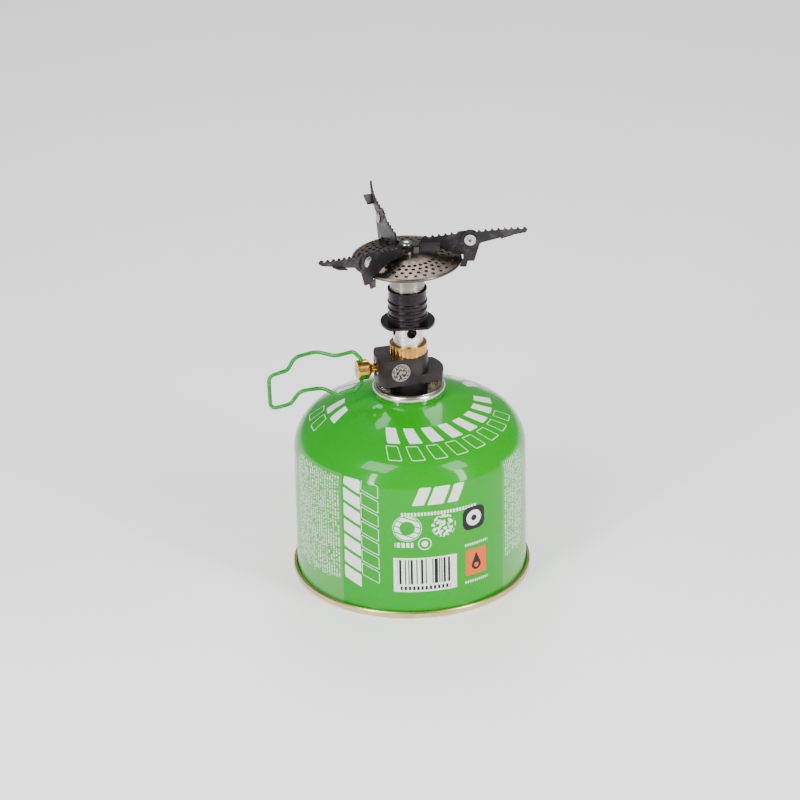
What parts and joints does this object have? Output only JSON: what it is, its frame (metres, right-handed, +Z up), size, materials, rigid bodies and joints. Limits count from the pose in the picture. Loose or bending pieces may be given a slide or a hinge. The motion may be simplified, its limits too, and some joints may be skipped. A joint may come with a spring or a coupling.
{
  "type": "camping stove",
  "caption": "Screw-on gas canister stove with folding burner head, locking sleeve, hinged pot arms and a wire valve handle.",
  "frame": {"origin": "centre of the canister's base, on the floor", "axes": "+Z up along the canister's axis, -X along the control spindle and its wire handle, -Y towards the milled face with the round mark"},
  "size_m": [0.1214, 0.11, 0.1711],
  "materials": {
    "can_green": "glossy printed lacquer",
    "rim_gold": "satin lacquered tinplate",
    "cup_steel": "satin tinplate",
    "seal_rubber": "matte",
    "valve_plastic": "matte",
    "spring_steel": "drawn wire",
    "block_graphite": "satin graphite anodised",
    "brass": "turned",
    "filter_bronze": "sintered",
    "tube_aluminium": "polished",
    "pin_steel": "satin",
    "sleeve_black": "gloss black anodised",
    "wire_green": "gloss paint",
    "dish_steel": "pressed stainless steel",
    "arm_black": "satin blackened steel"
  },
  "bodies": {
    "canister": {"canister_shell": "can_green", "canister_base": "rim_gold", "valve_cup": "cup_steel", "cup_gasket": "seal_rubber", "valve_housing": "valve_plastic", "stem_gasket": "seal_rubber", "stem_spring": "spring_steel"},
    "valve_stem": {"valve_stem": "valve_plastic"},
    "inlet_seal": {"inlet_seal": "seal_rubber"},
    "stove": {"valve_block": "block_graphite", "opening_pin": "brass", "inlet_filter": "filter_bronze", "spindle_gland": "brass", "spindle_seal": "seal_rubber", "jet": "brass", "lock_ring": "brass", "air_tube": "tube_aluminium", "spring_seat": "pin_steel", "hinge_pin": "pin_steel", "sleeve_spring": "spring_steel"},
    "needle": {"needle": "pin_steel"},
    "control_spindle": {"control_spindle": "brass"},
    "wire_handle": {"wire_handle": "wire_green"},
    "sleeve": {"locking_sleeve": "sleeve_black"},
    "head": {"burner_neck": "dish_steel", "burner_bowl": "dish_steel", "burner_plate": "dish_steel", "hub_rivet": "pin_steel", "hub_washer": "pin_steel"},
    "arm_1": {"arm_1_plate": "arm_black", "arm_1_rivet": "pin_steel"},
    "blade_1": {"arm_1_blade": "arm_black"},
    "arm_2": {"arm_2_plate": "arm_black", "arm_2_rivet": "pin_steel"},
    "blade_2": {"arm_2_blade": "arm_black"},
    "arm_3": {"arm_3_plate": "arm_black", "arm_3_rivet": "pin_steel"},
    "blade_3": {"arm_3_blade": "arm_black"}
  },
  "joints": [
    {"name": "stove_lift", "type": "slide", "parent": "canister", "child": "inlet_seal", "axis": [0, 0, 1], "range_m": [0, 0.00544]},
    {"name": "stove_turn", "type": "hinge", "parent": "inlet_seal", "child": "stove", "pos_m": [0, 0, 0.0912], "axis": [0, 0, 1], "range_deg": [0, 2160]},
    {"name": "valve_stem_travel", "type": "slide", "parent": "canister", "child": "valve_stem", "axis": [0, 0, 1], "range_m": [0, 0.0014], "deforming": ["stem_spring"]},
    {"name": "needle_travel", "type": "slide", "parent": "stove", "child": "needle", "axis": [-1, 0, 0], "range_m": [0, 0.001]},
    {"name": "knob_turn", "type": "hinge", "parent": "needle", "child": "control_spindle", "pos_m": [-0.0223, 0, 0.1024], "axis": [-1, 0, 0], "range_deg": [0, 720]},
    {"name": "wire_swing", "type": "hinge", "parent": "control_spindle", "child": "wire_handle", "pos_m": [-0.0223, 0, 0.1024], "axis": [0, 0, 1], "range_deg": [-100, 100]},
    {"name": "head_fold", "type": "hinge", "parent": "stove", "child": "head", "pos_m": [0, 0, 0.1404], "axis": [-0.9781, 0.2079, 0], "range_deg": [0, 90]},
    {"name": "sleeve_slide", "type": "slide", "parent": "stove", "child": "sleeve", "axis": [0, 0, 1], "range_m": [-0.0087, 0], "stiffness_N_per_m": 1, "springref_m": 0.04, "deforming": ["sleeve_spring"]},
    {"name": "arm_1_swivel", "type": "hinge", "parent": "head", "child": "arm_1", "pos_m": [0, 0, 0.16], "axis": [0, 0, 1], "range_deg": [-5, 5]},
    {"name": "arm_1_fold", "type": "hinge", "parent": "arm_1", "child": "blade_1", "pos_m": [0.02749, -0.00805, 0.1635], "axis": [-0.3356, -0.942, 0], "range_deg": [0, 160]},
    {"name": "arm_2_swivel", "type": "hinge", "parent": "head", "child": "arm_2", "pos_m": [0, 0, 0.16], "axis": [0, 0, 1], "range_deg": [-55, 0]},
    {"name": "arm_2_fold", "type": "hinge", "parent": "arm_2", "child": "blade_2", "pos_m": [-0.00314, 0.02848, 0.1635], "axis": [0.9986, 0.0521, 0], "range_deg": [0, 160]},
    {"name": "arm_3_swivel", "type": "hinge", "parent": "head", "child": "arm_3", "pos_m": [0, 0, 0.16], "axis": [0, 0, 1], "range_deg": [0, 55]},
    {"name": "arm_3_fold", "type": "hinge", "parent": "arm_3", "child": "blade_3", "pos_m": [-0.02364, -0.01618, 0.1635], "axis": [-0.5164, 0.8564, 0], "range_deg": [0, 160]}
  ],
  "couplings": [
    {"joint": "stove_lift", "follows": "stove_turn", "m_per_rad": 0.00014438},
    {"joint": "valve_stem_travel", "follows": "stove_turn", "m_per_rad": 0.000037099},
    {"joint": "needle_travel", "follows": "knob_turn", "m_per_rad": 0.000079498},
    {"joint": "sleeve_slide", "follows": "head_fold", "m_per_rad": -0.0054749}
  ]
}
